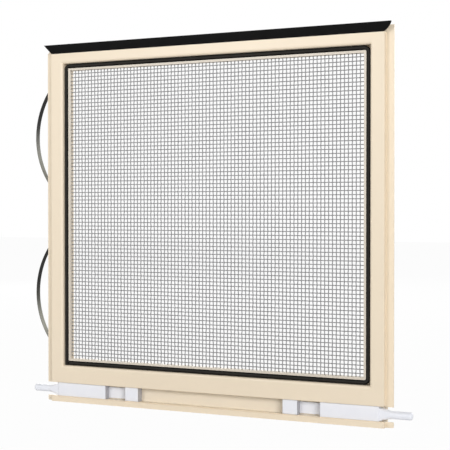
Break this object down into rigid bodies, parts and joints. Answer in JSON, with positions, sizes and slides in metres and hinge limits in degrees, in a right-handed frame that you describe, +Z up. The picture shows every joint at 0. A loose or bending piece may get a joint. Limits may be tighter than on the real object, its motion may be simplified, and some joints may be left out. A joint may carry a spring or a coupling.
{
  "type": "window screen frame",
  "caption": "Half-height window insect screen in a mitred hollow metal frame with set-back fins, bow springs, a flap seal and sprung slide latches.",
  "frame": {"origin": "middle of the frame's bottom edge, on the plane of its front face", "axes": "+X along the frame to the right seen from the front, +Y through it to the back, +Z up"},
  "size_m": [0.4214, 0.0166, 0.3823],
  "materials": {
    "almond_aluminium": "smooth baked almond enamel on extruded aluminium, satin",
    "screen_mesh": "grey woven insect screen, matt",
    "spline_rubber": "black round cord, soft sheen",
    "flap_rubber": "black flexible strip, matt",
    "spring_steel": "bare spring steel, slightly dull",
    "spring_wire": "plated spring wire",
    "white_nylon": "white moulded nylon, soft gloss",
    "key_plastic": "grey moulded corner key"
  },
  "bodies": {
    "frame": {"top_rail": "almond_aluminium", "bottom_rail": "almond_aluminium", "left_stile": "almond_aluminium", "right_stile": "almond_aluminium", "corner_key_top_left": "key_plastic", "corner_key_top_right": "key_plastic", "corner_key_bottom_left": "key_plastic", "corner_key_bottom_right": "key_plastic", "screen_cloth": "screen_mesh", "spline": "spline_rubber", "top_flap_seal": "flap_rubber", "upper_bow_spring": "spring_steel", "lower_bow_spring": "spring_steel", "left_latch_housing": "white_nylon", "right_latch_housing": "white_nylon", "left_latch_spring": "spring_wire", "right_latch_spring": "spring_wire"},
    "left_bolt": {"left_latch_bolt": "white_nylon"},
    "right_bolt": {"right_latch_bolt": "white_nylon"}
  },
  "joints": [
    {"name": "left_latch_slide", "type": "slide", "parent": "frame", "child": "left_bolt", "axis": [1, 0, 0], "range_m": [0, 0.018], "stiffness_N_per_m": 150, "springref_m": -0.02, "deforming": ["left_latch_spring"]},
    {"name": "right_latch_slide", "type": "slide", "parent": "frame", "child": "right_bolt", "axis": [-1, 0, 0], "range_m": [0, 0.018], "stiffness_N_per_m": 150, "springref_m": -0.02, "deforming": ["right_latch_spring"]}
  ]
}
